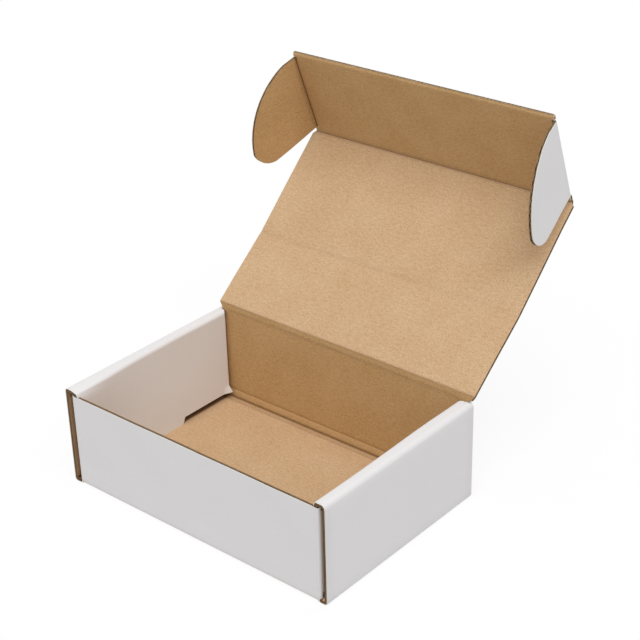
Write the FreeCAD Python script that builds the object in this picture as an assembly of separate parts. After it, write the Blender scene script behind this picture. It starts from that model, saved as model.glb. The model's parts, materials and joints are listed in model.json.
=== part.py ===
import FreeCAD, Part
import math
import os

from FreeCAD import Placement, Rotation, Vector

# Corrugated mailer box folded from one die-cut sheet, shown open.
# Millimetres. +Z is up, the front wall faces -Y, the lid is hinged at the back.
# The origin is the centre of the tray's underside.
# A fold that moves is cut at its score line into two solids with a small gap,
# and the edge on one side of the gap is rounded about the fold's axis.

# Driving dimensions of the board and the tray
board = 1.5             # thickness of the fine-flute board
outer_width = 152.0     # across the outer side panels
outer_depth = 101.2     # front wall to back wall, outside
side_height = 49.2      # top of the rolled side walls
front_drop = 2.9        # cut top edge of the front wall below the side walls
roll_width = 7.0        # outer face to inner face of a rolled side wall
fold_radius = 0.9       # centreline radius of a tight fold
roll_shoulder = 2.4     # centreline radius of the roll's softer inner fold
floor_run = 6.0         # part of the floor that an end wall's fold is drawn with
wall_run = 4.0          # part of the end wall that its fold is drawn with
fold_gap = 0.3          # opening between two solids at a moving fold

# Corner flaps of the front and back walls, hidden in the side walls
ear_clearance = 0.2     # ear to outer side panel, box closed
flap_clearance = 0.3    # ear to corner flap, box closed
flap_reach = 36.0       # length of a corner flap from the wall's outer face
flap_low = 4.5          # lower edge of a corner flap
flap_drop = 1.8         # upper edge of a front corner flap below the wall's edge
flap_taper = 4.0        # narrowing of a corner flap towards its free end

# Inner side panels, their tabs and the slots in the floor
panel_lift = 3.4        # lower edge of an inner panel above the floor
panel_front_gap = 0.3   # inner panel to the front wall's inner face
panel_back_gap = 2.4    # inner panel to the back wall's inner face
tab_front = -16.0       # tab's front side
tab_back = 13.6         # tab's back side
tab_slant = 1.6         # run of the slanted step beside a tab
tab_inset = 0.2         # tab's end above the table
slot_clearance = 0.2    # tab to slot, each side
notch_depth = 1.6       # bite out of the panel's back edge under the roll
notch_height = 3.2

# Lid, seen from the side. A lean is measured back from upright
lid_lean_rear = 51.0    # fold strip and rear part of the lid
lid_lean_front = 46.6   # the lid bends forward a little at its middle crease
hinge_rise = 0.8        # axis of the lid's lower score line above the side walls
strip_width = 3.0       # between the two score lines of the lid's fold
rear_length = 40.2      # upper score line to the lid's middle crease
fold_take_up = 2.2      # part of the tray's depth that the lid's fold spans, box closed
crease_radius = 9.0     # centreline radius of the soft middle crease
corner_cut = 1.0        # small cut at the lid's corners

# Front flap and its ears
tuck_fold = 67.6        # front flap folded from the lid's plane
tuck_corner = 0.8       # small cut at the front flap's free corners
ear_fold = 80.5         # ears folded from the front flap's plane
ear_low = 3.7           # ear's root, from the front flap's fold
ear_top_gap = 2.9       # ear's root, from the front flap's free edge
ear_heel = (2.9, 25.6)  # end of the straight edge: along the root, out from it
ear_toe = (5.2, 34.9)
ear_tip = (13.0, 39.6)
ear_sweep = (33.8, 30.3)

# Derived places
half = board / 2
side_x = outer_width / 2
lid_width = outer_width
front_height = side_height - front_drop
hinge_height = side_height + hinge_rise
front_length = outer_depth - fold_take_up - rear_length
tuck_length = side_height
ear_high = tuck_length - ear_top_gap
front_y = -outer_depth / 2
back_y = outer_depth / 2
side_inner = side_x - board
ear_axis_x = side_inner - ear_clearance - half
flap_outer = ear_axis_x - half - flap_clearance
panel_inner = side_x - roll_width
roll_under = side_height - board
back_height = hinge_height - half - fold_gap
end_gap = half + fold_gap
panel_front = front_y + board + panel_front_gap
panel_back = back_y - board - panel_back_gap
panel_foot = board + panel_lift
eps = 0.01


def turned(a, b):
    """Cross product of two directions in the outline's plane."""
    return a[0] * b[1] - a[1] * b[0]


def unit(a, b):
    """Direction from a to b."""
    dx, dy = b[0] - a[0], b[1] - a[1]
    length = math.hypot(dx, dy)
    return dx / length, dy / length


def offset_side(points, radii, shift):
    """Corners and fold radii of a centreline moved sideways by shift."""
    legs = [unit(a, b) for a, b in zip(points, points[1:])]
    corners, bends = [], []
    for i, (x, y) in enumerate(points):
        before = legs[max(i - 1, 0)]
        after = legs[min(i, len(legs) - 1)]
        nx, ny = -before[1] - after[1], before[0] + after[0]
        scale = shift / (1 + before[0] * after[0] + before[1] * after[1])
        corners.append((x + nx * scale, y + ny * scale))
        if 0 < i < len(points) - 1:
            outside = -math.copysign(1, turned(before, after))
            bends.append(radii[i - 1] + outside * shift)
    return corners, bends


def rounded_edges(corners, bends, place):
    """Straight and arc edges along the corners, each corner rounded."""
    edges = []
    start = corners[0]
    for i, radius in enumerate(bends, 1):
        before = unit(corners[i - 1], corners[i])
        after = unit(corners[i], corners[i + 1])
        turn = math.acos(before[0] * after[0] + before[1] * after[1])
        run = radius * math.tan(turn / 2)
        x, y = corners[i]
        enter = (x - before[0] * run, y - before[1] * run)
        leave = (x + after[0] * run, y + after[1] * run)
        inward = (after[0] - before[0], after[1] - before[1])
        length = math.hypot(*inward)
        sag = radius * (1 / math.cos(turn / 2) - 1)
        middle = (x + inward[0] / length * sag, y + inward[1] / length * sag)
        edges.append(Part.LineSegment(place(start), place(enter)).toShape())
        edges.append(Part.Arc(place(enter), place(middle), place(leave)).toShape())
        start = leave
    edges.append(Part.LineSegment(place(start), place(corners[-1])).toShape())
    return edges


def folded_board(points, radii, place, run):
    """Board bent along a centreline and extruded by the vector run."""
    left, left_bends = offset_side(points, radii, half)
    right, right_bends = offset_side(points, radii, -half)
    edges = rounded_edges(left, left_bends, place)
    edges.append(Part.LineSegment(place(left[-1]), place(right[-1])).toShape())
    edges += rounded_edges(right, right_bends, place)
    edges.append(Part.LineSegment(place(right[0]), place(left[0])).toShape())
    outline = Part.Wire(Part.__sortEdges__(edges))
    return Part.Face(outline).extrude(run)


def prism(points, place, run):
    """Straight-sided outline extruded by the vector run."""
    corners = [place(p) for p in points]
    return Part.Face(Part.makePolygon(corners + corners[:1])).extrude(run)


def box(x0, x1, y0, y1, z0, z1):
    """Block between two corners."""
    return Part.makeBox(x1 - x0, y1 - y0, z1 - z0, Vector(x0, y0, z0))


def both_sides(shape):
    """The shape and its mirror image across the middle of the box."""
    return [shape, shape.mirror(Vector(0, 0, 0), Vector(1, 0, 0))]


def leaning(y, z, lean):
    """Frame with local Y along a panel that leans back and local Z on its inside."""
    return Placement(Vector(0, y, z), Rotation(Vector(1, 0, 0), 90 - lean))


def along(y, z, lean, length):
    """Point reached by following a leaning panel."""
    angle = math.radians(lean)
    return y + length * math.sin(angle), z + length * math.cos(angle)


def one_solid(shape, name):
    """The single solid of a joined shape."""
    shape = shape.removeSplitter()
    if len(shape.Solids) != 1:
        raise ValueError(f"{name} has {len(shape.Solids)} solids")
    return shape.Solids[0]


def side_walls():
    """Floor, outer side panels, rolled tops and inner panels as one bent board."""
    inner_x = panel_inner + half
    outer_x = side_x - half
    top_z = side_height - half
    right = [(outer_x, half), (outer_x, top_z), (inner_x, top_z), (inner_x, panel_foot)]
    left = [(-x, z) for x, z in reversed(right)]
    radii = [roll_shoulder, fold_radius, fold_radius]
    band = folded_board(
        left + right,
        radii + radii[::-1],
        lambda p: Vector(p[0], front_y, p[1]),
        Vector(0, outer_depth, 0),
    )
    cuts = []
    under = roll_under - roll_shoulder
    inside = panel_inner - eps
    outside = panel_inner + board + eps
    cuts += both_sides(box(inside, outside, front_y, panel_front, 0, under))
    cuts += both_sides(box(inside, outside, panel_back, back_y, 0, under))
    notch = [
        (panel_back, under),
        (panel_back - notch_depth, under - notch_height / 2),
        (panel_back - notch_depth / 2, under - notch_height * 2),
        (panel_back, under - notch_height * 2),
    ]
    bite = prism(notch, lambda p: Vector(inside, *p), Vector(board + 2 * eps, 0, 0))
    cuts += both_sides(bite)
    cuts += both_sides(box(panel_inner - 1, flap_outer + fold_gap, back_y - board - fold_gap,
                           back_y + 1, back_height - board - fold_gap, side_height + 1))
    return band.cut(cuts)


def inner_tab():
    """Tab of an inner panel that locks into its slot in the floor."""
    outline = [
        (tab_front - tab_slant, panel_foot + half),
        (tab_front, board),
        (tab_front + tab_slant / 2, tab_inset),
        (tab_back - tab_slant / 2, tab_inset),
        (tab_back, board),
        (tab_back + tab_slant, panel_foot + half),
    ]
    return prism(outline, lambda p: Vector(panel_inner, *p), Vector(board, 0, 0))


def floor_slot():
    """Opening in the floor for a tab."""
    return box(panel_inner - slot_clearance, panel_inner + board + slot_clearance,
               tab_front - slot_clearance, tab_back + slot_clearance, -1, board + 0.5)


def end_wall(facing, height, flap_top):
    """Front or back wall: bottom fold, wall and the two corner flaps."""
    mid_y = facing * (outer_depth / 2 - half)
    mid_x = flap_outer - half
    straight = flap_outer - board
    fold = folded_board(
        [(mid_y - facing * floor_run, half), (mid_y, half), (mid_y, wall_run)],
        [fold_radius],
        lambda p: Vector(-straight, *p),
        Vector(2 * straight, 0, 0),
    )
    flap_end = facing * (outer_depth / 2 - flap_reach)
    wall = folded_board(
        [(mid_x, flap_end), (mid_x, mid_y), (-mid_x, mid_y), (-mid_x, flap_end)],
        [fold_radius, fold_radius],
        lambda p: Vector(p[0], p[1], fold_radius + half),
        Vector(0, 0, height - fold_radius - half),
    )
    root = facing * (outer_depth / 2 - board)
    far = flap_end - facing
    room = flap_taper * abs(far - root) / flap_reach
    below = [(root, 0), (root, flap_low), (far, flap_low + room), (far, 0)]
    above = [(root, height + 1), (root, flap_top), (far, flap_top - room), (far, height + 1)]
    reach = 2 * board
    cuts = []
    for outline in (below, above):
        piece = prism(outline, lambda p: Vector(flap_outer - reach, *p), Vector(reach + 1, 0, 0))
        cuts += both_sides(piece)
    return fold.fuse(wall.cut(cuts))


def floor_trim(facing):
    """Room in the floor's edge for the bottom fold of an end wall."""
    straight = flap_outer - board
    inner = facing * (outer_depth / 2 - half - fold_radius)
    outer = facing * (outer_depth / 2 + 1)
    return box(-straight, straight, min(inner, outer), max(inner, outer), -1, board + eps)


def tray():
    """The box's fixed lower part, one folded board."""
    walls = side_walls().cut([floor_trim(-1), floor_trim(1)] + both_sides(floor_slot()))
    front = end_wall(-1, front_height, front_height - flap_drop)
    back = end_wall(1, back_height, roll_under - flap_drop)
    back = back.cut(both_sides(box(panel_inner - fold_gap, side_x, back_y - board - 1,
                                   back_y + 1, roll_under - fold_gap, side_height)))
    return walls.fuse([front, back] + both_sides(inner_tab()))


def rod(x0, x1, y, z):
    """Rounded edge about a fold's axis."""
    return Part.makeCylinder(half, x1 - x0, Vector(x0, y, z), Vector(1, 0, 0))


def lid_fold():
    """Strip of board between the two score lines at the back of the lid."""
    place = leaning(back_y - half, hinge_height, lid_lean_rear)
    low, high = flap_outer, lid_width / 2 - corner_cut
    plate = box(-high, high, 0, strip_width, -half, half)
    plate = plate.fuse([rod(-high, high, 0, 0), rod(-high, high, strip_width, 0)])
    outline = [(-low, -board), (low, -board), (low, 0), (high, strip_width),
               (high, strip_width + board), (-high, strip_width + board),
               (-high, strip_width), (-low, 0)]
    shape = plate.common(prism(outline, lambda p: Vector(*p, -board), Vector(0, 0, 2 * board)))
    shape.Placement = place
    return shape


def lid():
    """Lid panel with its soft middle crease."""
    start = along(*upper_score(), lid_lean_rear, end_gap)
    crease = along(*upper_score(), lid_lean_rear, rear_length)
    end = along(*crease, lid_lean_front, front_length - end_gap)
    shape = folded_board(
        [start, crease, end],
        [crease_radius],
        lambda p: Vector(-lid_width / 2, *p),
        Vector(lid_width, 0, 0),
    )
    corners = [e for e in shape.Edges
               if abs(e.Length - board) < eps and abs(e.CenterOfMass.x) > lid_width / 2 - eps]
    return shape.makeChamfer(corner_cut, corners)


def upper_score():
    """Y and Z of the upper score line of the lid's fold."""
    return along(back_y - half, hinge_height, lid_lean_rear, strip_width)


def tuck_axis():
    """Y and Z of the fold between the lid and its front flap."""
    crease = along(*upper_score(), lid_lean_rear, rear_length)
    return along(*crease, lid_lean_front, front_length)


def tuck_frame():
    """Frame of the front flap as it stands open."""
    return leaning(*tuck_axis(), lid_lean_front - tuck_fold)


def tuck_flap():
    """Front flap that hangs over the front wall when the box is closed."""
    wide = ear_axis_x + half
    narrow = ear_axis_x - end_gap
    low, high = ear_low - fold_gap, ear_high + fold_gap
    right = [(wide, 0), (wide, low), (narrow, low), (narrow, high), (wide, high),
             (wide, tuck_length - tuck_corner), (wide - tuck_corner, tuck_length)]
    outline = right + [(-x, y) for x, y in reversed(right)]
    plate = prism(outline, lambda p: Vector(*p, -half), Vector(0, 0, board))
    shape = plate.fuse(rod(-wide, wide, 0, 0))
    shape.Placement = tuck_frame()
    return shape


def ear(side):
    """Fin-shaped ear, side is 1 on the right and -1 on the left."""
    def spot(along_root, out):
        return Vector(ear_axis_x + out, along_root, -half)

    edges = [
        Part.LineSegment(spot(ear_high, 0), spot(ear_low, 0)).toShape(),
        Part.LineSegment(spot(ear_low, 0), spot(*ear_heel)).toShape(),
        Part.Arc(spot(*ear_heel), spot(*ear_toe), spot(*ear_tip)).toShape(),
        Part.Arc(spot(*ear_tip), spot(*ear_sweep), spot(ear_high, 0)).toShape(),
    ]
    plate = Part.Face(Part.Wire(edges)).extrude(Vector(0, 0, board))
    root = Part.makeCylinder(half, ear_high - ear_low, Vector(ear_axis_x, ear_low, 0),
                             Vector(0, 1, 0))
    shape = plate.fuse(root)
    shape.rotate(Vector(ear_axis_x, 0, 0), Vector(0, -1, 0), ear_fold)
    if side < 0:
        shape = shape.mirror(Vector(0, 0, 0), Vector(1, 0, 0))
    shape.Placement = tuck_frame().multiply(shape.Placement)
    return shape


nodes = {
    "tray": tray(),
    "lid_fold": lid_fold(),
    "lid": lid(),
    "tuck_flap": tuck_flap(),
    "left_ear": ear(-1),
    "right_ear": ear(1),
}

os.makedirs("parts", exist_ok=True)
for name, shape in nodes.items():
    one_solid(shape, name).exportStep(f"parts/{name}.step")
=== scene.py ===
import json
import math

import bmesh
import bpy
import numpy as np
from mathutils import Matrix, Vector


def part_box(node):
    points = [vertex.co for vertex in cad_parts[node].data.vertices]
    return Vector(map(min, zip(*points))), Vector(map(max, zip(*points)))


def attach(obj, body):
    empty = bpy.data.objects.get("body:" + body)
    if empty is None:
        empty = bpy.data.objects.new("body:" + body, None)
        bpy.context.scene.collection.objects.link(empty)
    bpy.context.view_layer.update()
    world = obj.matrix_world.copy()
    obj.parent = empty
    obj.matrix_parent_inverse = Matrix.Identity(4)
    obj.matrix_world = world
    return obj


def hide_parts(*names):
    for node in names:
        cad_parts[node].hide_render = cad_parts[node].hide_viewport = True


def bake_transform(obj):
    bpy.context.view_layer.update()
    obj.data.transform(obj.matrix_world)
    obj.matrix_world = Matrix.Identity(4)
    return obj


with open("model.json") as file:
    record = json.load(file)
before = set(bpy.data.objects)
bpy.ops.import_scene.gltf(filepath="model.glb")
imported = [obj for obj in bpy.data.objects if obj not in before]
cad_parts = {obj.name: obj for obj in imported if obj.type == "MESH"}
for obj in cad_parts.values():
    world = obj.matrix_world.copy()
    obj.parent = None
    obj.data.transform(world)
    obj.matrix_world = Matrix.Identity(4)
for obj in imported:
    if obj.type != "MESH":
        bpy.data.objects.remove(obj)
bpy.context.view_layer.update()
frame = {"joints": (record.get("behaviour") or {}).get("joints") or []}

# Lengths below are millimetres, and MM turns them into the frame's metres.
# A board is two liners with a fluted medium between them. Every panel is drawn
# on its mid-plane, with a normal that points to the kraft side.
MM = 0.001
BOARD = 1.5
HALF = BOARD / 2
LINER = 0.32
MEDIUM = 0.34
FLUTE = 3.9
FLUTE_STEPS = 8
HIDDEN_STEPS = 4
FOLD_GAP = 0.3
BAND_REACH = HALF + FOLD_GAP
BAND_SPACING = 0.25
BAND_COLUMNS = 40
SHARP_ANGLE = 38.0

# Score lines and folds, in width, depth and wear
SCORE_WIDTH = 0.3
SCORE_DEPTH = 0.15
WALL_SCORE_DEPTH = 0.1
FOLD_WIDTH = 0.8
FOLD_DEPTH = 0.12
FOLD_WEAR = 0.8
# Share of the crease wear and painted shade that the white liner takes
WHITE_WEAR_AND_SHADE = 0.1

# The tray, with its half width and half depth from the frame
SIDE_X, BACK_Y, _ = np.array(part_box("tray")[1]) / MM
SIDE_TOP = 49.2
FRONT_TOP = 46.3
ROLL_WIDTH = 7.0
TIGHT_FOLD = 0.8
SOFT_FOLD = 2.4
WORN_FOLD = 1.7
UNDER_ROLL = 45.3
FLAP_REACH = 36.0
FLAP_LOW = 4.5
FLAP_DROP = 1.8
FLAP_TAPER = 4.0
PANEL_FOOT = 4.9
PANEL_FRONT = -BACK_Y + 1.8
PANEL_BACK = BACK_Y - 3.9
TAB_FRONT = -16.0
TAB_BACK = 13.6
TAB_SLANT = 1.6
TAB_RUN = 7.0
TAB_RISE = 6.0
TAB_END = 0.2
SLOT_ROOM = 0.06
FLOOR_CUT = 0.4
BEND_DEPTH = 48.0
BEND_HEIGHT = 6.0
FLAP_COLUMNS = 8
WALL_SCORE = BOARD + 4.2
FLOOR_SCORE = BACK_Y - 5.0

# How the tray's walls stand off their flat shape. A pair is where a change starts and ends
LEFT_LEAN = 2.2
LEFT_BACK = 0.8
LEFT_LEAN_RUN = (5, 50)
LEFT_LEAN_RISE = (12, SIDE_TOP - 3)
RIGHT_LEAN = 1.1
RIGHT_LEAN_RUN = (-35, 48)
RIGHT_LEAN_RISE = (41, SIDE_TOP - 1)
SIDE_SWAY = 0.2
SIDE_SWAY_RISE = (4, 20)
SWELL = 0.9
SWELL_RUN = (30, 50)
SWELL_WIDTH = 2.2
TIP_BEND = 1.8
TIP_SHIFT = 0.7
TIP_START = 43.5
TIP_TOP = 8.5
WALL_SWAY = 0.16
WALL_SWAY_RISE = (3, 15)
RIGHT_CRUMPLE = 4.3
LEFT_CRUMPLE = 2.2

# The lid and its front flap, seen from the side
LEAN_REAR = 51.0
LEAN_FRONT = 46.6
TUCK_FOLD = 67.6
TUCK_LEAN = LEAN_FRONT - TUCK_FOLD
STRIP = 3.0
LID_FOLD = 1.0
CREASE_RADIUS = 9.0
REAR_LENGTH = 40.2
CORNER_CUT = 1.0
LEFT_CORNER = 2.8
RIGHT_CORNER = 0.5
LID_SWAY = 0.25
LID_COLUMNS = 62
CREASE_FADE = (-20, 70)
TUCK_LENGTH = 49.15
TUCK_CORNER = 0.4
CRUSHED = 0.6

# The ears: places are along the root and out from it
EAR_FOLD = 80.5
EAR_BEND = 0.9
EAR_LOW = 3.7
EAR_HIGH = 46.3
EAR_HEEL = (2.9, 25.6)
EAR_TOE = (5.2, 34.9)
EAR_TIP = (13.0, 39.6)
EAR_SWEEP = (33.8, 30.3)
EAR_END = EAR_HIGH - 0.35
EAR_SWAY = 0.15
EAR_COLUMNS = 14
EAR_FOLD_DEPTH = 0.25

# The photograph's camera
FRAME_PIXELS = 640
FOCAL_PIXELS = 1568.6
CENTRE_PIXELS = (317.3, 356.3)
CAMERA_AZIMUTH = 40.93
CAMERA_ELEVATION = 28.96
CAMERA_ROLL = -1.59
CAMERA_OFFSETS = (21.294, 60.14, 717.369)
SENSOR = 36.0
CLIP = (0.01, 20.0)


def joint_place(name):
    """The joint's point in millimetres."""
    joint = next(j for j in frame["joints"] if j["name"] == name)
    return np.array(joint["pos_m"]) / MM


HINGE = joint_place("lid_hinge")[1:]
TUCK = joint_place("tuck_hinge")[1:]
EAR_X = joint_place("right_ear_hinge")[0]
BACK_TOP = HINGE[1] - BAND_REACH
FLAP_X = EAR_X - HALF - FOLD_GAP - HALF


def unit(v):
    """The direction of v."""
    return v / np.linalg.norm(v)


def leaning(degrees):
    """Direction in the Y-Z plane that leans back from upright."""
    return np.array([math.sin(math.radians(degrees)), math.cos(math.radians(degrees))])


def smooth(value, low, high):
    """0 before low, 1 after high and an even ramp between them."""
    t = np.clip((value - low) / (high - low), 0, 1)
    return t * t * (3 - 2 * t)


def hump(value, centre, width):
    """A smooth hump of height 1."""
    return np.exp(-((value - centre) / width) ** 2)


def ripple(u, v, size, seed):
    """Gentle unevenness, between -1 and 1."""
    a, b = u / size + seed, v / size - seed * 1.7
    return (np.sin(a * 2.1 + np.sin(b * 1.3)) + np.sin(b * 2.7 + np.sin(a * 1.9 + seed))) / 2


class Line:
    """A flat line with rounded corners: points, left normals and run lengths."""

    def __init__(self, corners, radii, spacing=4.0, arc_steps=8):
        corners = [np.array(c, float) for c in corners]
        places, normals = [corners[0]], []
        self.arcs, self.tangents = [], []
        for i, end in enumerate(corners[1:], 1):
            before = unit(end - corners[i - 1])
            left = np.array([-before[1], before[0]])
            last = i == len(corners) - 1
            if not last:
                after = unit(corners[i + 1] - end)
                turn = math.atan2(before[0] * after[1] - before[1] * after[0], before @ after)
                radius = radii[i - 1]
                self.tangents.append(radius * math.tan(abs(turn) / 2))
                end = end - before * self.tangents[-1]
            if i == 1:
                normals.append(left)
            start = places[-1]
            steps = max(1, math.ceil(np.linalg.norm(end - start) / spacing))
            for k in range(1, steps + 1):
                places.append(start + (end - start) * k / steps)
                normals.append(left)
            if last:
                break
            side = math.copysign(1, turn)
            centre = end + left * side * radius
            for k in range(1, arc_steps + 1):
                c, s = math.cos(turn * k / arc_steps), math.sin(turn * k / arc_steps)
                normals.append(np.array([left[0] * c - left[1] * s, left[0] * s + left[1] * c]))
                places.append(centre - normals[-1] * side * radius)
            self.arcs.append((len(places) - 1 - arc_steps, len(places) - 1))
        self.places, self.normals = np.array(places), np.array(normals)
        gaps = np.linalg.norm(np.diff(self.places, axis=0), axis=1)
        self.runs = np.concatenate([[0], np.cumsum(gaps)])
        self.length = self.runs[-1]
        self.folds = [(self.runs[a] + self.runs[b]) / 2 for a, b in self.arcs]

    def at(self, run):
        """Places and left normals at these runs, each as two arrays."""
        place = [np.interp(run, self.runs, self.places[:, k]) for k in (0, 1)]
        normal = [np.interp(run, self.runs, self.normals[:, k]) for k in (0, 1)]
        return place, normal

    def after(self, corner, distance):
        """Run at a distance past a corner, measured from the sharp corner."""
        return self.runs[self.arcs[corner][1]] + distance - self.tangents[corner]

    def before(self, corner, distance):
        """Run at a distance before a corner."""
        return self.runs[self.arcs[corner][0]] - distance + self.tangents[corner]

    def between(self, start, end, *breaks):
        """The line's own runs from start to end, with the breaks."""
        return values_between(start, end, self.runs, *breaks)


def values_between(start, end, *groups):
    """Every value of the groups from start to end, with both ends."""
    values = np.concatenate([[start, end]] + [np.atleast_1d(g) for g in groups])
    values = np.unique(np.round(values[(values >= start) & (values <= end)], 4))
    return values[np.concatenate([[True], np.diff(values) > 0.002])]


def spaced(start, end, spacing):
    """Even values from start to end."""
    return np.linspace(start, end, max(2, math.ceil((end - start) / spacing) + 1))


# The finishes' places in FINISHES. The third is a deeper kraft with painted shade, used on the
# walls, flap and ears; the last is the board's inside, painted dark as shade
WHITE, KRAFT, SHADE_PAINTED_KRAFT, PALE_EDGE, BROWN_EDGE, SHADE_PAINTED_INSIDE = range(6)


class Board:
    """One piece of board: closed shells for its liners and its medium."""

    def __init__(self):
        self.places, self.faces, self.finishes, self.blanks, self.wear_and_shade_values = [], [], [], [], []
        self.count = 0

    def add(self, faces, finish):
        """Adds faces with one finish."""
        self.faces += faces.tolist()
        self.finishes += [finish] * len(faces)

    def shell(self, low, high, blank, wear_and_shade, finishes, cells):
        """A closed shell between two grids of points, less the cells that are off."""
        rows, columns = low.shape[:2]
        self.places += [low.reshape(-1, 3), high.reshape(-1, 3)]
        self.blanks += [blank.reshape(-1, 2)] * 2
        self.wear_and_shade_values += [wear_and_shade.ravel()] * 2
        total = rows * columns
        number = np.arange(total).reshape(rows, columns) + self.count
        self.count += 2 * total
        r, c = np.nonzero(cells)
        a, b = number[r, c], number[r, c + 1]
        d, e = number[r + 1, c + 1], number[r + 1, c]
        self.add(np.stack([a, e, d, b], 1), finishes[0])
        self.add(np.stack([a, b, d, e], 1) + total, finishes[1])
        padded = np.pad(cells, 1)
        for dr, dc, p, q in ((-1, 0, a, b), (1, 0, d, e), (0, -1, e, a), (0, 1, b, d)):
            bare = ~padded[r + 1 + dr, c + 1 + dc]
            p, q = p[bare], q[bare]
            self.add(np.stack([p, q, q + total, p + total], 1), finishes[2])

    def panel(self, surface, columns, rows, spread=None, keep=None, relief=None, wear_and_shade=None,
              sheet=(0, 0), medium_share=1.0, kraft=KRAFT, cut=BROWN_EDGE,
              steps=FLUTE_STEPS):
        """A panel with flutes along its columns' direction.

        surface gives mid-plane places and kraft-side normals at u and v, spread turns
        a column value into u, keep says which cells are board, relief lifts the kraft
        liner, sheet is the panel's place on the flat sheet, kraft and cut are the
        finishes of the kraft liner and of its cut edge, and steps divide each flute.
        """
        spread = spread or (lambda c, v: c)

        def grid(columns, rows, share):
            c, v = np.meshgrid(columns, rows)
            u = spread(c * share, v)
            middle_c = (c[1:, 1:] + c[:-1, :-1]) / 2
            middle_v = (v[1:, 1:] + v[:-1, :-1]) / 2
            cells = keep(middle_c, middle_v) if keep else np.ones(middle_c.shape, bool)
            places, normals = surface(u, v)
            worn_and_shaded = wear_and_shade(u, v) if wear_and_shade else np.zeros(u.shape)
            lift = relief(u, v) if relief else np.zeros(u.shape)
            blank = np.stack([u + sheet[0], v + sheet[1]], -1)
            return u, v, cells, places, normals, blank, worn_and_shaded, lift

        u, v, cells, places, normals, blank, worn_and_shaded, lift = grid(columns, rows, 1.0)
        # Liners' inner faces and the medium take the board's inside, painted dark as shade
        outer, inner = (WHITE, SHADE_PAINTED_INSIDE, PALE_EDGE), (SHADE_PAINTED_INSIDE, kraft, cut)
        # The white liner gets a share of crease wear and painted shade, and no painted light
        white_wear_and_shade = np.maximum(worn_and_shaded, 0) * WHITE_WEAR_AND_SHADE
        for low, high, shown, lifted, creased in ((-HALF, LINER - HALF, outer, 0, white_wear_and_shade),
                                                  (HALF - LINER, HALF, inner, lift, worn_and_shaded)):
            self.shell(places + normals * (u * 0 + low + lifted)[..., None],
                       places + normals * (u * 0 + high + lifted)[..., None],
                       blank, creased, shown, cells)
        start, end = rows[0], rows[-1]
        fine = np.linspace(start, end, max(3, round((end - start) / FLUTE * steps)))
        fine = values_between(start, end, fine, rows)
        u, v, cells, places, normals, blank, worn_and_shaded, lift = grid(columns, fine, medium_share)
        wave = (HALF - LINER - MEDIUM / 2) * np.sin(2 * math.pi * (v + sheet[1]) / FLUTE)
        wave = wave + np.minimum(lift, 0) / 2
        self.shell(places + normals * (wave - MEDIUM / 2)[..., None],
                   places + normals * (wave + MEDIUM / 2)[..., None],
                   blank, worn_and_shaded * 0, (SHADE_PAINTED_INSIDE, SHADE_PAINTED_INSIDE, BROWN_EDGE), cells)

    def piece(self, name, slot, replaced=()):
        """The finished object."""
        data = bpy.data.meshes.new(name)
        data.from_pydata((np.concatenate(self.places) * MM).tolist(), [], self.faces)
        for material in FINISHES:
            data.materials.append(material)
        data.polygons.foreach_set("material_index", self.finishes)
        corner_points = np.zeros(len(data.loops), np.int32)
        data.loops.foreach_get("vertex_index", corner_points)
        layer = data.uv_layers.new(name="blank")
        blank = np.concatenate(self.blanks)[corner_points] * BLANK_SCALE
        layer.data.foreach_set("uv", blank.astype(np.float32).ravel())
        wear_and_shade = data.attributes.new("wear_and_shade", "FLOAT", "POINT")
        wear_and_shade.data.foreach_set("value", np.concatenate(self.wear_and_shade_values).astype(np.float32))
        shape = bmesh.new()
        shape.from_mesh(data)
        loose = [v for v in shape.verts if not v.link_faces]
        bmesh.ops.delete(shape, geom=loose, context="VERTS")
        bmesh.ops.recalc_face_normals(shape, faces=shape.faces)
        shape.to_mesh(data)
        shape.free()
        data.shade_smooth()
        data.set_sharp_from_angle(angle=math.radians(SHARP_ANGLE))
        piece = bpy.data.objects.new(name, data)
        bpy.context.scene.collection.objects.link(piece)
        if replaced:
            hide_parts(*replaced)
        return piece


# Materials. Their patterns lie on the flat sheet, one unit for 100 mm. A wave texture
# at scale 1 repeats every WAVE_PERIOD units
BLANK_SCALE = 0.01
WAVE_PERIOD = 2 * math.pi / 20
BUMP_HEIGHT = 0.0002


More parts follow.
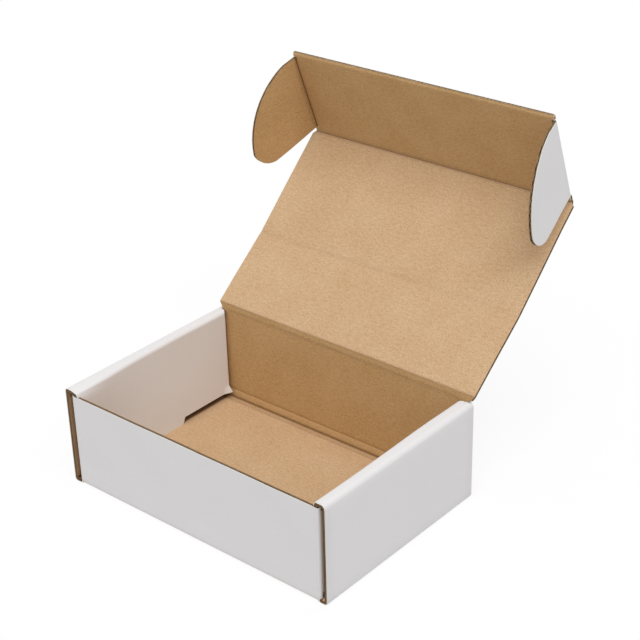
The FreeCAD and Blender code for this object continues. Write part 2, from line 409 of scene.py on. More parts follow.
class Nodes:
    """Short forms for the nodes of one material."""

    def __init__(self, name):
        self.material = bpy.data.materials.new(name)
        self.material.use_nodes = True
        self.tree = self.material.node_tree
        self.shader = self.tree.nodes["Principled BSDF"]

    def make(self, kind, inputs=(), **settings):
        """A node with its settings and inputs, each a value or another socket."""
        node = self.tree.nodes.new(kind)
        for key, value in settings.items():
            setattr(node, key, value)
        for key, value in dict(inputs).items():
            self.feed(node.inputs[key], value)
        return node

    def feed(self, target, value):
        """Links a socket or sets a value."""
        if isinstance(value, bpy.types.NodeSocket):
            self.tree.links.new(value, target)
        else:
            target.default_value = value

    def flat(self, along, across):
        """Place on the flat sheet, scaled along and across the flutes."""
        sheet = self.make("ShaderNodeUVMap", uv_map="blank").outputs[0]
        inputs = {"Vector": sheet, "Scale": (along, across, 1.0)}
        return self.make("ShaderNodeMapping", inputs).outputs[0]

    def noise(self, place, scale, detail, roughness, low, high):
        """Noise with the values low..high spread over 0..1."""
        inputs = {"Vector": place, "Scale": scale, "Detail": detail, "Roughness": roughness}
        value = self.make("ShaderNodeTexNoise", inputs).outputs[0]
        return self.ramp(value, low, high)

    def ramp(self, value, low, high, a=0.0, b=1.0):
        """Turns low..high into a..b, held at the ends."""
        inputs = {"Value": value, "From Min": low, "From Max": high, "To Min": a, "To Max": b}
        return self.make("ShaderNodeMapRange", inputs, clamp=True).outputs[0]

    def maths(self, operation, a, b):
        """One sum."""
        return self.make("ShaderNodeMath", {0: a, 1: b}, operation=operation).outputs[0]

    def mix(self, share, a, b):
        """Two colours mixed."""
        node = self.make("ShaderNodeMix", data_type="RGBA")
        for socket, value in (("Factor_Float", share), ("A_Color", a), ("B_Color", b)):
            self.feed(next(s for s in node.inputs if s.identifier == socket), value)
        return next(s for s in node.outputs if s.identifier == "Result_Color")


def linear(red, green, blue):
    """A screen colour, 0 to 255, as linear values."""
    parts = [c / 255 for c in (red, green, blue)]
    parts = [c / 12.92 if c <= 0.04045 else ((c + 0.055) / 1.055) ** 2.4 for c in parts]
    return (*parts, 1.0)


# Patterns of the paper: how they are drawn out along and across the flutes, and the
# noise's scale, detail, roughness and the values that become 0 and 1
CLOUDS = ((1.0, 1.0), (5.0, 5.0, 0.55, 0.3, 0.7))
FIBRES = ((1.0, 1.0), (125.0, 4.0, 0.7, 0.32, 0.68))
THREADS = ((0.6, 1.3), (60.0, 3.0, 0.6, 0.35, 0.65))
DARK_SPECKS = ((1.0, 1.0), (120.0, 2.0, 0.5, 0.66, 0.76))
PALE_SPECKS = ((1.3, 0.7), (140.0, 2.0, 0.5, 0.66, 0.76))


def paper(name, colour, dark, pale, crease, *, strength, roughness, gloss, relief):
    """Paper with cloudy colour, fibres, specks, faint flute lines, worn creases and painted
    shade.

    A point attribute above 0 darkens for worn creases and painted shade, and below 0 paints
    light.
    """
    nodes = Nodes(name)
    clouds, fibres, threads, dark_specks, pale_specks = (
        nodes.noise(nodes.flat(*stretch), *values)
        for stretch, values in (CLOUDS, FIBRES, THREADS, DARK_SPECKS, PALE_SPECKS))
    shade = colour
    for pattern, share, other in ((clouds, 0.6, pale), (fibres, 0.8, dark), (threads, 0.3, pale),
                                  (dark_specks, 1.2, dark), (pale_specks, 0.8, pale)):
        shade = nodes.mix(nodes.maths("MULTIPLY", pattern, share * strength), shade, other)
    worn_and_shaded = nodes.make("ShaderNodeAttribute", attribute_name="wear_and_shade").outputs["Fac"]
    # Above 0 the crease colour darkens creases and paints shade, below 0 the pale one paints
    # light
    shade = nodes.mix(nodes.maths("MULTIPLY", worn_and_shaded, 0.85), shade, crease)
    shade = nodes.mix(nodes.maths("MULTIPLY", worn_and_shaded, -1.0), shade, pale)
    nodes.feed(nodes.shader.inputs["Base Color"], shade)
    rough = nodes.ramp(fibres, 0.0, 1.0, roughness - 0.05, roughness + 0.06)
    nodes.feed(nodes.shader.inputs["Roughness"], rough)
    nodes.shader.inputs["Specular IOR Level"].default_value = gloss
    bands = WAVE_PERIOD / (FLUTE * BLANK_SCALE)
    inputs = {"Vector": nodes.flat(0.0, 1.0), "Scale": bands, "Distortion": 0.0}
    lines = nodes.make("ShaderNodeTexWave", inputs, bands_direction="Y").outputs["Fac"]
    height = nodes.maths("MULTIPLY", lines, 0.2)
    for pattern, share in ((fibres, 0.5), (clouds, 0.6), (threads, 0.15)):
        height = nodes.maths("ADD", height, nodes.maths("MULTIPLY", pattern, share))
    inputs = {"Height": height, "Strength": relief, "Distance": BUMP_HEIGHT}
    normal = nodes.make("ShaderNodeBump", inputs).outputs[0]
    nodes.feed(nodes.shader.inputs["Normal"], normal)
    return nodes.material


# Each paper's plain, dark, pale and crease colours. Their order is that of the finishes above
# The crease colours also serve as painted shade, and the pale ones as painted light
FINISHES = [
    paper("white_liner", linear(234, 232, 232), linear(218, 215, 216),
          linear(240, 239, 240), linear(150, 138, 126),
          strength=0.3, roughness=0.6, gloss=0.3, relief=0.08),
    paper("kraft_liner", linear(212, 178, 138), linear(156, 112, 68),
          linear(234, 206, 170), linear(104, 64, 26),
          strength=0.75, roughness=0.85, gloss=0.1, relief=0.3),
    # Kraft with painted shade: a darker, deeper copy of the kraft above for the upright panels
    paper("kraft_liner_painted_shade", linear(204, 167, 116), linear(150, 104, 54),
          linear(226, 192, 146), linear(96, 58, 22),
          strength=0.75, roughness=0.85, gloss=0.1, relief=0.3),
    paper("pale_cut_edge", linear(238, 230, 220), linear(205, 190, 170),
          linear(244, 240, 234), linear(120, 100, 80),
          strength=0.5, roughness=0.8, gloss=0.1, relief=0.2),
    paper("brown_cut_edge", linear(146, 116, 82), linear(98, 76, 52),
          linear(184, 158, 124), linear(80, 56, 36),
          strength=0.6, roughness=0.9, gloss=0.08, relief=0.3),
    # The board's inside, painted near black as the shade within the flutes
    paper("board_inside_painted_shade", linear(60, 46, 34), linear(44, 34, 24),
          linear(84, 66, 48), linear(40, 30, 20),
          strength=0.5, roughness=0.9, gloss=0.05, relief=0.3),
]


# Tray: floor, outer side panels, rolled tops and inner panels are one bent board
def tray_sides():
    """The sheet from the left inner panel's foot over both sides to the right one's foot."""
    out, inner, top = SIDE_X - HALF, SIDE_X - ROLL_WIDTH + HALF, SIDE_TOP - HALF
    right = [(out, HALF), (out, top), (inner, top), (inner, TAB_END)]
    corners = [(-x, z) for x, z in reversed(right)] + right
    radii = [TIGHT_FOLD, TIGHT_FOLD, TIGHT_FOLD, TIGHT_FOLD, WORN_FOLD, TIGHT_FOLD]
    line = Line(corners, radii, spacing=5.0, arc_steps=6)
    roll = line.folds
    roll_end = BACK_Y - BOARD - FOLD_GAP
    above_front = FRONT_TOP + 0.15, FRONT_TOP + 0.9
    slot_low, slot_high = inner - HALF - SLOT_ROOM, inner + HALF + SLOT_ROOM
    middle = line.length / 2

    def on_floor(u):
        return (u > roll[2]) & (u < roll[3])

    def inner_leg(u):
        return (u < roll[0]) | (u > roll[5])

    def surface(u, v):
        (x, z), (nx, nz) = line.at(u)
        left = x < 0
        share = np.clip((out - abs(x)) / (out - inner), 0, 1) * ~on_floor(u)
        lean = LEFT_LEAN * smooth(-v, *LEFT_LEAN_RUN) - LEFT_BACK
        lean = np.where(left, lean, 0) * smooth(z, *LEFT_LEAN_RISE)
        right_lean = np.where(left, 0, RIGHT_LEAN * smooth(-v, *RIGHT_LEAN_RUN))
        lean = lean + right_lean * smooth(z, *RIGHT_LEAN_RISE)
        sway = SIDE_SWAY * ripple(v, z, 21.0, 1.0) * smooth(z, *SIDE_SWAY_RISE)
        soft = SWELL * smooth(-v, *SWELL_RUN) * hump(u, roll[0], SWELL_WIDTH)
        tip = smooth(v, TIP_START, roll_end) * (1 - smooth(z, PANEL_FOOT, TIP_TOP))
        tip = tip * (left & inner_leg(u))
        low = inner_leg(u) & (z < UNDER_ROLL)
        slant = np.interp(z, [TAB_END, BOARD, PANEL_FOOT, PANEL_FOOT + TAB_RISE], [-0.6, 0, 1, 0])
        near_back = np.clip(1 - abs(v - TAB_BACK) / TAB_RUN, 0, 1)
        near_front = np.clip(1 - abs(v - TAB_FRONT) / TAB_RUN, 0, 1)
        shift = TAB_SLANT * (near_back - near_front) * slant * low + TIP_SHIFT * tip
        leg = 1 - smooth(np.minimum(u, line.length - u), roll[0] - 0.6, roll[0] + 1.2)
        drawn_in = roll_end - PANEL_BACK - 0.5 * smooth(z, 12, UNDER_ROLL)
        shift = shift - drawn_in * smooth(v, 38, roll_end) * leg
        x = x + (lean + sway) * share + nx * soft + TIP_BEND * tip
        return np.stack([x, v + shift, z + nz * soft], -1), np.stack([nx, nx * 0, nz], -1)

    def keep(u, v):
        (x, z), _ = line.at(u)
        x = abs(x)
        low = inner_leg(u) & (z < UNDER_ROLL)
        off = low & (v > roll_end)
        off |= inner_leg(u) & (z < np.where(u < middle, *above_front)) & (v < PANEL_FRONT)
        off |= low & (z < PANEL_FOOT) & ((v < TAB_FRONT) | (v > TAB_BACK))
        off |= on_floor(u) & (x < FLAP_X + FLOOR_CUT) & (abs(v) > BACK_Y - HALF - TIGHT_FOLD)
        in_slot = (x > slot_low) & (x < slot_high)
        in_slot &= (v > TAB_FRONT - SLOT_ROOM) & (v < TAB_BACK + SLOT_ROOM)
        off |= on_floor(u) & in_slot
        off |= (z > UNDER_ROLL) & (x < FLAP_X + HALF + FOLD_GAP) & (v > roll_end)
        return ~off

    def relief(u, v):
        score = -SCORE_DEPTH * hump(abs(v), FLOOR_SCORE, SCORE_WIDTH) * on_floor(u)
        return score - 0.2 * sum(hump(u, f, 0.7) for f in roll[2:4])

    def wear_and_shade(u, v):
        (x, _), _ = line.at(u)
        beside = (u > roll[1]) & (u < roll[2]) | (u > roll[3]) & (u < roll[4])
        # Painted shade: the outer panels' kraft darkens towards the gaps by the end walls
        ends = 0.6 * smooth(abs(v), 44, 49) * beside
        folds = 0.2 * sum(hump(u, f, FOLD_WIDTH) for f in roll)
        score = 0.3 * hump(abs(v), FLOOR_SCORE, SCORE_WIDTH)
        # The floor darkens along the walls' feet and in the band between its score and the walls
        edge = 0.8 * hump(abs(v), BACK_Y - 1.6, 0.9)
        strip = 0.22 * smooth(abs(v), FLOOR_SCORE - 0.2, FLOOR_SCORE + 0.2)
        # Painted shadow on the floor behind the inner panels, seen through the gap under their
        # feet
        behind_panel = 0.9 * smooth(abs(x), inner - 0.3, inner + 1.2)
        return np.clip(folds + ends + (score + edge + strip + behind_panel) * on_floor(u), 0, 1)

    heights = (BOARD, PANEL_FOOT, PANEL_FOOT + TAB_RISE, TIP_TOP, 6.7, UNDER_ROLL, *above_front)
    marks = [z - TAB_END for z in heights] + [line.length - z + TAB_END for z in heights]
    across = (slot_low, slot_high, FLAP_X + FLOOR_CUT)
    marks += [middle + side * a for side in (-1, 1) for a in across]
    marks += [middle + side * (middle - line.runs[line.arcs[0][1]] - d)
              for side in (-1, 1) for d in (0.8, 1.6, 2.4, out - FLAP_X - HALF - FOLD_GAP)]
    columns = line.between(0, line.length, marks)
    near_walls = (0.6, 1.2, HALF + TIGHT_FOLD, 1.9, 2.2, 2.6, 3.0, 3.6, 4.2, 4.7, 5.0, 5.3, 5.6,
                  6.4)
    row_marks = [side * (BACK_Y - away) for side in (-1, 1) for away in near_walls]
    row_marks += [PANEL_FRONT, roll_end]
    row_marks += [TAB_FRONT, TAB_FRONT - SLOT_ROOM, TAB_BACK, TAB_BACK + SLOT_ROOM]
    rows = values_between(-BACK_Y, BACK_Y, spaced(-BACK_Y, BACK_Y, 3.2), row_marks)
    board = Board()
    board.panel(surface, columns, rows, keep=keep, relief=relief, wear_and_shade=wear_and_shade, steps=HIDDEN_STEPS)
    crumpled_corner(board, 1, RIGHT_CRUMPLE)
    crumpled_corner(board, -1, LEFT_CRUMPLE)
    piece = board.piece("tray_sides", "white_board", ["tray"])
    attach(piece, "tray")


def crumpled_corner(board, side, height):
    """Board crushed into a small triangle where the front wall, side and floor meet.

    A layer painted dark as shade lies behind and a smaller kraft one before it.
    """
    outer, wide = SIDE_X - BOARD + 0.1, height * 0.66
    for inset, front, finish in ((0.0, 0.45, SHADE_PAINTED_INSIDE), (0.42, 0.25, KRAFT)):
        low, far = 0.12 + inset * 0.6, outer - inset * 0.5
        corners = [(far - wide + inset * 1.6, low), (far, low), (far, height - inset * 1.7)]
        for y in (-BACK_Y + front, -BACK_Y + 3.0):
            board.places.append(np.array([(side * x, y, z) for x, z in corners]))
            board.blanks.append(np.array(corners))
            board.wear_and_shade_values.append(np.zeros(3))
        n = board.count
        board.faces += [[n, n + 1, n + 2], [n + 5, n + 4, n + 3]]
        board.faces += [[n + a, n + b, n + b + 3, n + a + 3] for a, b in ((1, 0), (2, 1), (0, 2))]
        board.finishes += [finish] * 5
        board.count += 6


def tray_end(name, facing, top, flap_top, sheet):
    """Front or back wall with its bottom fold and its two corner flaps.

    facing is -1 for the front wall and 1 for the back one.
    """
    mid_y = facing * (BACK_Y - HALF)
    flap_end = facing * (BACK_Y - FLAP_REACH)
    start = facing * FLAP_X
    plan = [(start, flap_end), (start, mid_y), (-start, mid_y), (-start, flap_end)]
    line = Line(plan, [TIGHT_FOLD, TIGHT_FOLD], spacing=4.5)
    fold = Line([(facing * BEND_DEPTH, HALF), (mid_y, HALF), (mid_y, BEND_HEIGHT)], [TIGHT_FOLD])
    bottom = HALF + TIGHT_FOLD
    straight = FLAP_X - TIGHT_FOLD
    flap_length, far_corner = line.runs[line.arcs[0][0]], line.runs[line.arcs[1][1]]

    def upright(u, v):
        (x, y), (nx, ny) = line.at(u)
        sway = WALL_SWAY * ripple(x, v, 26.0, 2.0 + facing) * smooth(v, *WALL_SWAY_RISE)
        y = y - facing * abs(sway) * (abs(x) < straight)
        return np.stack([x, y, v], -1), np.stack([nx, ny, nx * 0], -1)

    def bent(u, v):
        (y, z), (ny, nz) = fold.at(v)
        return np.stack([u, y, z], -1), np.stack([ny * 0, ny * facing, nz * facing], -1)

    def wall_keep(u, v):
        (x, _), _ = line.at(u)
        return (v > bottom) | (abs(x) > straight)

    def wall_relief(u, v):
        (x, _), _ = line.at(u)
        share = np.clip((WALL_SCORE - v) / (WALL_SCORE - bottom), 0, 1)
        score = WALL_SCORE_DEPTH * hump(v, WALL_SCORE, SCORE_WIDTH)
        return 0.5 * share * (abs(x) < straight) - score

    def wall_wear_and_shade(u, v):
        (x, _), _ = line.at(u)
        # Painted light: the raised band between the bottom fold and the score line is paled
        band = smooth(WALL_SCORE - v, 0, 0.4) * smooth(v, bottom + 0.8, bottom + 1.6)
        score = 0.3 * hump(v, WALL_SCORE + 0.2, SCORE_WIDTH)
        # Painted shadow: darker towards the wall's ends, in the gaps by the inner panels' edges
        corners = 0.6 * smooth(abs(x), 70.0, 71.6)
        ends = 0.1 * hump(v, top, 0.5) + 0.85 * hump(v, bottom, 0.75)
        return score + corners + ends - 0.22 * band

    def fold_wear(u, v):
        return FOLD_WEAR * hump(v, fold.folds[0], FOLD_WIDTH)

    def flap_height(c, depth):
        room = FLAP_TAPER * depth / FLAP_REACH
        low, high = FLAP_LOW + room, flap_top - room
        return low + c * (high - low)

    def flap_spread(c, v):
        return flap_height(c, flap_length - v)

    board = Board()
    heights = [bottom, 3.0, top - 1, 8] + [WALL_SCORE + d for d in (-0.5, -0.2, 0, 0.2, 0.5)]
    rows = values_between(0.2, top, spaced(bottom, top, 3.0), heights)
    marks = [run for d in (2, 2.6, 3.2) for run in (flap_length + d, far_corner - d)]
    columns = line.between(flap_length, far_corner, marks)
    # The wall, its bottom fold and its flaps take the kraft with painted shade
    board.panel(upright, columns, rows, keep=wall_keep, relief=wall_relief, wear_and_shade=wall_wear_and_shade,
                sheet=sheet, kraft=SHADE_PAINTED_KRAFT)
    arc_rows = fold.between(fold.runs[fold.arcs[0][0]], fold.runs[fold.arcs[0][1]])
    board.panel(bent, spaced(-straight, straight, 5.0), arc_rows, wear_and_shade=fold_wear,
                sheet=(sheet[0], sheet[1] - 3), kraft=SHADE_PAINTED_KRAFT)
    for first in (True, False):
        def flap(u, v, first=first):
            run = v if first else line.length - v
            (x, y), (nx, ny) = line.at(run)
            return np.stack([x, y, u], -1), np.stack([nx, ny, nx * 0], -1)

        board.panel(flap, np.linspace(0, 1, FLAP_COLUMNS), spaced(0, flap_length, 3.0),
                    spread=flap_spread, sheet=(sheet[0] + 100, sheet[1]), kraft=SHADE_PAINTED_KRAFT)
    piece = board.piece(name, "white_board")
    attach(piece, "tray")


# Lid: one line seen from the side runs from the back wall to the front flap's free edge
CREASE = HINGE + leaning(LEAN_REAR) * (STRIP + REAR_LENGTH)
TUCK_EDGE = TUCK + leaning(TUCK_LEAN) * TUCK_LENGTH
PROFILE = Line([HINGE - (0, BAND_REACH), HINGE, CREASE, TUCK, TUCK_EDGE],
               [LID_FOLD, CREASE_RADIUS, LID_FOLD], spacing=3.5)
LID_SHEET = (0, 200)


def lid_surface(u, v):
    """Mid-plane of the lid line, with the lid's slight unevenness."""
    (y, z), (ny, nz) = PROFILE.at(v)
    start, end = PROFILE.after(0, 6), PROFILE.before(2, 3)
    free = smooth(v, start, start + 12) * (1 - smooth(v, end - 12, end))
    sway = LID_SWAY * ripple(u, v, 34.0, 4.0) * free
    return (np.stack([u, y + ny * sway, z + nz * sway], -1),
            np.stack([ny * 0, ny, nz], -1))


def corner_width(c, v):
    """Half the board's width at the back of the lid, where its corners are cut slanting."""
    near, far = PROFILE.folds[0], PROFILE.after(0, 2.0)
    cut = np.where(c < 0, LEFT_CORNER, RIGHT_CORNER)
    slant = cut * np.clip((far - v) / (far - near), 0, 1)
    neck = (SIDE_X - cut - FLAP_X - HALF) * np.clip((near - v) / 0.9, 0, 1)
    return SIDE_X - slant - neck


def lid_folds():
    """Bands and strip at the back of the lid."""
    near, far = PROFILE.after(0, BAND_REACH), PROFILE.after(0, STRIP - BAND_REACH)
    lid_start = PROFILE.after(0, STRIP + BAND_REACH)
    line = (far + lid_start) / 2 - 0.9
    lower = PROFILE.folds[0]

    def crease_relief(u, v):
        return -FOLD_DEPTH * hump(v, lower, 0.6) - SCORE_DEPTH * hump(v, line, 0.6)

    def score_wear_and_strip_shade(u, v):
        # Painted shade darkens the strip to match the back wall below it, and the score line is
        # worn
        strip = smooth(v, lower - 1.0, lower - 0.2) * (1 - smooth(v, line - 0.1, line + 0.6))
        return 0.42 * strip + hump(v, line - 0.1, 0.6) * (0.14 + 0.05 * np.sin(u / 17.0))

    def make(name, slot, low, high, kraft, replaced=()):
        rows = values_between(low, high, spaced(low, high, BAND_SPACING), PROFILE.runs)
        board = Board()
        board.panel(lid_surface, np.linspace(-1, 1, BAND_COLUMNS), rows,
                    spread=lambda c, v: c * corner_width(c, v), relief=crease_relief,
                    wear_and_shade=score_wear_and_strip_shade, sheet=LID_SHEET, medium_share=0.999, kraft=kraft)
        return board.piece(name, slot, replaced)

    # The hinge band and strip take the kraft with painted shade
    band = make("lid_hinge_band", "lid_fold_board", 0, near, SHADE_PAINTED_KRAFT)
    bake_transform(band)
    strip = make("lid_fold_strip", "lid_fold_board", near, far, SHADE_PAINTED_KRAFT, ["lid_fold"])
    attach(strip, "lid_fold")
    band = make("lid_score_band", "lid_board", far, lid_start, KRAFT)
    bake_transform(band)


def lid_panel():
    """The lid between its back score line and its front fold."""
    start, end = PROFILE.after(0, STRIP + BAND_REACH), PROFILE.before(2, BAND_REACH)
    crease = PROFILE.folds[1]
    # Each dent has its place across and along the lid, its size and its depth
    dents = ((63.0, start + 9.0, 3.2, 0.22), (70.0, start + 20.0, 2.4, 0.2),
             (-66.0, start + 34.0, 3.0, 0.12), (20.0, end - 14.0, 5.0, 0.08))

    def half_width(c, v):
        return corner_width(c, v) - np.clip(CORNER_CUT - (end - v), 0, CORNER_CUT)

    def crease_line(u):
        return crease + 0.4 * np.sin(u / 30.0)

    def relief(u, v):
        dent = -0.22 * hump(v, crease_line(u), 1.1) * (1 - 0.7 * smooth(u, *CREASE_FADE))
        for x, run, size, depth in dents:
            dent = dent - depth * np.exp(-((u - x) / size) ** 2 - ((v - run) / size / 0.7) ** 2)
        return dent

    def wear_and_shade(u, v):
        line = 0.1 * hump(v, crease_line(u), 0.8) * (1 - 0.75 * smooth(u, *CREASE_FADE))
        return np.clip(line + 0.3 * hump(v, end, 0.6), 0, 1)

    rows = spaced(start, end, 2.0)
    rows = values_between(start, end, rows, spaced(crease - 3, crease + 3, 0.5),
                          [start + CORNER_CUT, end - CORNER_CUT, end - 0.5])
    board = Board()
    board.panel(lid_surface, np.linspace(-1, 1, LID_COLUMNS), rows,
                spread=lambda c, v: c * half_width(c, v), relief=relief, wear_and_shade=wear_and_shade,
                sheet=LID_SHEET, medium_share=0.998)
    piece = board.piece("lid_panel", "lid_board", ["lid"])
    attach(piece, "lid")


def tuck_pieces():
    """The front flap and the fold that joins it to the lid."""
    start, root = PROFILE.before(2, BAND_REACH), PROFILE.after(2, BAND_REACH)
    end = PROFILE.length
    fold = PROFILE.folds[2]
    wide, narrow = EAR_X + HALF, EAR_X - BAND_REACH
    ear_low, ear_high = (PROFILE.after(2, 0) + along for along in (EAR_LOW, EAR_HIGH))

    def fold_relief(u, v):
        return -FOLD_DEPTH * hump(v, fold, 0.5)

    def fold_wear(u, v):
        return FOLD_WEAR * hump(v, fold, FOLD_WIDTH)

    band_rows = values_between(start, root, spaced(start, root, BAND_SPACING), PROFILE.runs)
    band = Board()
    band.panel(lid_surface, np.linspace(-1, 1, BAND_COLUMNS), band_rows,
               spread=lambda c, v: c * np.interp(v, [start, root], [SIDE_X - CORNER_CUT, wide]),
               relief=fold_relief, wear_and_shade=fold_wear, sheet=LID_SHEET, medium_share=0.999)
    piece = band.piece("tuck_fold_band", "lid_board")
    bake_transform(piece)

    def spread(c, v):
        cut = np.clip(TUCK_CORNER - (end - v), 0, TUCK_CORNER)
        stub = HALF * smooth(v, ear_high - 2, ear_high)
        return c * (wide - cut - stub) / wide

    def relief(u, v):
        return -CRUSHED * smooth(v, end - 1.4, end - 0.3)

    def keep(c, v):
        beside_ear = (v > ear_low - FOLD_GAP) & (v < ear_high + FOLD_GAP)
        return ~((abs(c) > narrow) & beside_ear)

    def wear_and_shade(u, v):
        sides = hump(abs(u), narrow, 0.6) * (v > ear_low) * (v < ear_high)
        return 0.3 * hump(v, root, 0.5) + 0.35 * sides

    columns = values_between(-wide, wide, spaced(-wide, wide, 4.0),
                             [-narrow, narrow, 0.8 - narrow, narrow - 0.8])
    rows = values_between(root, end, spaced(root, end, 3.0),
                          [root + 0.5, ear_low - FOLD_GAP, ear_high + FOLD_GAP,
                           end - 1.4, end - 1.1, end - 0.8, end - 0.6, end - TUCK_CORNER])
    board = Board()
    # The flap takes the kraft with painted shade
    board.panel(lid_surface, columns, rows, spread=spread, keep=keep, relief=relief, wear_and_shade=wear_and_shade,
                sheet=LID_SHEET, medium_share=0.998, kraft=SHADE_PAINTED_KRAFT, cut=PALE_EDGE)
    piece = board.piece("tuck_flap_panel", "tuck_flap_board", ["tuck_flap"])
    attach(piece, "tuck_flap")


class Arc:
    """Circle through three points of the ear's outline, each along the root and out from it."""

    def __init__(self, a, b, c):
        a, b, c = (np.array(p, float) for p in (a, b, c))
        rows = 2 * np.array([b - a, c - a])
        self.centre = np.linalg.solve(rows, [b @ b - a @ a, c @ c - a @ a])
        self.radius = np.linalg.norm(a - self.centre)

    def out(self, along):
        """How far out the circle reaches at this place along the root."""
        room = np.maximum(self.radius ** 2 - (along - self.centre[0]) ** 2, 0)
        return self.centre[1] + np.sqrt(room)


def ear_pieces(side):
    """One ear and the fold that joins it to the front flap, side is 1 on the right."""
    name = "right_ear" if side > 0 else "left_ear"
    across = np.array([side, 0.0, 0.0])
    root = np.array([0.0, *leaning(TUCK_LEAN)])
    kraft = np.array([0.0, -root[2], root[1]])
    angle = math.radians(EAR_FOLD)
    out = math.cos(angle) * across + math.sin(angle) * kraft
    normal = math.cos(angle) * kraft - math.sin(angle) * across
    origin = np.array([side * EAR_X, *TUCK])
    far_end = (math.cos(angle) * BAND_REACH, math.sin(angle) * BAND_REACH)
    path = Line([(-BAND_REACH, 0), (0, 0), far_end], [EAR_BEND])
    toe = Arc(EAR_HEEL, EAR_TOE, EAR_TIP)
    sweep = Arc(EAR_TIP, EAR_SWEEP, (EAR_HIGH, 0))
    heel, heel_out = EAR_HEEL
    heel_slope = heel_out / (EAR_LOW - heel)
    sheet = (side * 90, 260)

    def band_surface(u, v):
        (a, n), (na, nn) = path.at(u)
        places = origin + a[..., None] * across + n[..., None] * kraft + v[..., None] * root
        return places, na[..., None] * across + nn[..., None] * kraft

    def band_wear(u, v):
        return hump(u, path.folds[0], FOLD_WIDTH)

    def band_relief(u, v):
        return -EAR_FOLD_DEPTH * hump(u, path.folds[0], 0.7)

    board = Board()
    # The ear's fold takes the kraft with painted shade
    board.panel(band_surface, path.between(0, path.length, spaced(0, path.length, 0.3)),
                spaced(EAR_LOW, EAR_HIGH - 0.4, 3.0), relief=band_relief, wear_and_shade=band_wear,
                sheet=sheet, kraft=SHADE_PAINTED_KRAFT)
    band = board.piece(f"{name}_band", f"{name}_board")
    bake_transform(band)

    def surface(u, v):
        sway = EAR_SWAY * (1 + ripple(u, v, 16.0, 6.0 + side)) * smooth(u, 3, 14)
        places = origin + u[..., None] * out + v[..., None] * root + sway[..., None] * normal
        return places, np.zeros(places.shape) + normal

    def spread(c, v):
        near = np.maximum(BAND_REACH, (EAR_LOW - v) * heel_slope)
        far = np.where(v < EAR_TIP[0], toe.out(v), sweep.out(v))
        return near + c * (np.maximum(far, near + 0.05) - near)

    def wear_and_shade(u, v):
        return 0.35 * hump(u, BAND_REACH, 0.6)

    # Rows crowd together at the heel, round the toe and at the sweep's end
    rows = values_between(heel, EAR_END, spaced(heel, EAR_END, 1.2),
                          heel + 0.8 * np.linspace(0, 1, 5) ** 2, spaced(4, 13, 0.7),
                          EAR_END - 4 * np.linspace(0, 1, 8) ** 2)
    board = Board()
    # The ear takes the kraft with painted shade
    board.panel(surface, np.linspace(0, 1, EAR_COLUMNS), rows, spread=spread, wear_and_shade=wear_and_shade,
                sheet=sheet, medium_share=0.996, kraft=SHADE_PAINTED_KRAFT)
    piece = board.piece(f"{name}_panel", f"{name}_board", [name])
    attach(piece, name)


tray_sides()
tray_end("tray_front_wall", -1, FRONT_TOP, FRONT_TOP - FLAP_DROP, sheet=(0, -80))
tray_end("tray_back_wall", 1, BACK_TOP, UNDER_ROLL + SOFT_FOLD - FLAP_DROP, sheet=(0, 80))
lid_folds()
lid_panel()
tuck_pieces()
for side in (-1, 1):
    ear_pieces(side)


# Stage, light and camera
FLOOR_SIZE = 6.0
FLOOR_DROP = 0.0001
FLOOR_WHITE = 0.85
FLOOR_SHADES = (0.54, 0.56)
FLOOR_SEEN = 0.97
FLOOR_ROUGHNESS = 0.95
WORLD_LIGHT = 0.62
SUN_STRENGTH = 1.5
SUN_ANGLE = 50.0
SUN_FROM = (0.35, -0.35, 0.87)


def stage():
    """A pale floor that is near white for the camera and keeps a faint shadow."""
    data = bpy.data.meshes.new("floor")
    s = FLOOR_SIZE / 2
    corners = [(-s, -s), (s, -s), (s, s), (-s, s)]
    data.from_pydata([(x, y, -FLOOR_DROP) for x, y in corners], [], [(0, 1, 2, 3)])
    floor = bpy.data.objects.new("floor", data)
    bpy.context.scene.collection.objects.link(floor)
    nodes = Nodes("pale_floor")
    place = nodes.make("ShaderNodeTexCoord").outputs["Object"]
    tone = nodes.noise(place, 3.0, 2.0, 0.5, 0.3, 0.7)
    low, high, bright = ((g, g, g, 1) for g in (*FLOOR_SHADES, FLOOR_SEEN))
    plain = nodes.mix(tone, low, high)
    nodes.shader.inputs["Roughness"].default_value = FLOOR_ROUGHNESS
    nodes.shader.inputs["Specular IOR Level"].default_value = 0.0
    glow = nodes.make("ShaderNodeEmission", {"Color": (1, 1, 1, 1), "Strength": 1.0}).outputs[0]
    rays = nodes.make("ShaderNodeLightPath").outputs
    seen = nodes.maths("MAXIMUM", rays["Is Camera Ray"], rays["Is Glossy Ray"])
    seen = nodes.maths("MAXIMUM", seen, rays["Is Transmission Ray"])
    shade = nodes.mix(seen, plain, bright)
    nodes.feed(nodes.shader.inputs["Base Color"], shade)
    share = nodes.maths("MULTIPLY", seen, FLOOR_WHITE)
    inputs = {0: share, 1: nodes.shader.outputs[0], 2: glow}
    mixed = nodes.make("ShaderNodeMixShader", inputs).outputs[0]
    nodes.feed(nodes.tree.nodes["Material Output"].inputs["Surface"], mixed)
    data.materials.append(nodes.material)


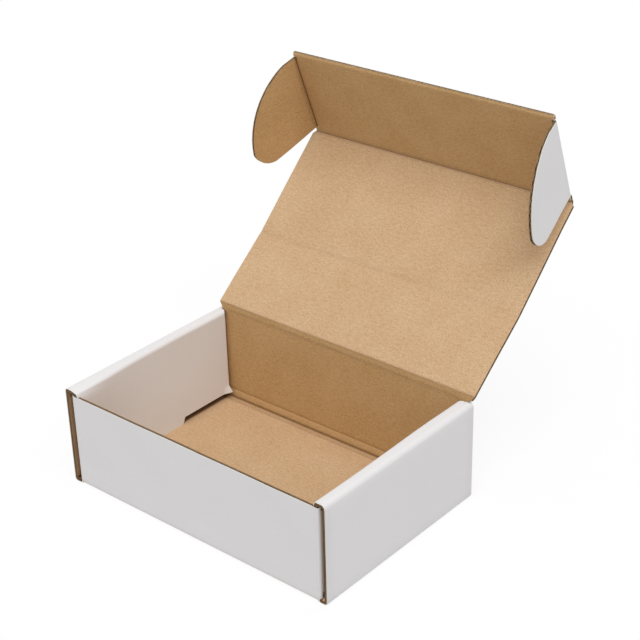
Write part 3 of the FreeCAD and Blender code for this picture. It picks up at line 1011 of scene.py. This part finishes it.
def light():
    """Even light from all round with a soft one from above."""
    world = bpy.data.worlds.new("studio")
    bpy.context.scene.world = world
    world.use_nodes = True
    tree = world.node_tree
    shade = tree.nodes["Background"]
    shade.inputs["Color"].default_value = (1, 1, 1, 1)
    rays = tree.nodes.new("ShaderNodeLightPath").outputs
    seen = rays["Is Camera Ray"]
    for other in ("Is Glossy Ray", "Is Transmission Ray"):
        larger = tree.nodes.new("ShaderNodeMath")
        larger.operation = "MAXIMUM"
        tree.links.new(seen, larger.inputs[0])
        tree.links.new(rays[other], larger.inputs[1])
        seen = larger.outputs[0]
    level = tree.nodes.new("ShaderNodeMapRange")
    level.inputs["To Min"].default_value = WORLD_LIGHT
    level.inputs["To Max"].default_value = 1.0
    tree.links.new(seen, level.inputs["Value"])
    tree.links.new(level.outputs[0], shade.inputs["Strength"])
    lamp = bpy.data.lights.new("soft_top", "SUN")
    lamp.energy = SUN_STRENGTH
    lamp.angle = math.radians(SUN_ANGLE)
    sun = bpy.data.objects.new("soft_top", lamp)
    sun.rotation_euler = Vector(SUN_FROM).to_track_quat("Z", "Y").to_euler()
    bpy.context.scene.collection.objects.link(sun)


def camera():
    """The camera of the photograph."""
    azimuth, elevation = math.radians(CAMERA_AZIMUTH), math.radians(CAMERA_ELEVATION)
    roll = math.radians(CAMERA_ROLL)
    right = Vector((math.cos(azimuth), math.sin(azimuth), 0))
    back = Vector((math.sin(azimuth) * math.cos(elevation),
                   -math.cos(azimuth) * math.cos(elevation),
                   math.sin(elevation)))
    up = back.cross(right)
    axes = (math.cos(roll) * right + math.sin(roll) * up,
            math.cos(roll) * up - math.sin(roll) * right, back)
    place = sum((axis * offset for axis, offset in zip(axes, CAMERA_OFFSETS)), Vector())
    data = bpy.data.cameras.new("camera")
    data.sensor_width = SENSOR
    data.lens = SENSOR * FOCAL_PIXELS / FRAME_PIXELS
    data.shift_x = (FRAME_PIXELS / 2 - CENTRE_PIXELS[0]) / FRAME_PIXELS
    data.shift_y = (CENTRE_PIXELS[1] - FRAME_PIXELS / 2) / FRAME_PIXELS
    data.clip_start, data.clip_end = CLIP
    seen = bpy.data.objects.new("camera", data)
    turn = Matrix(axes).transposed().to_4x4()
    seen.matrix_world = Matrix.Translation(place * MM) @ turn
    bpy.context.scene.collection.objects.link(seen)
    bpy.context.scene.camera = seen


stage()
light()
camera()
bpy.context.scene.view_settings.view_transform = "Standard"
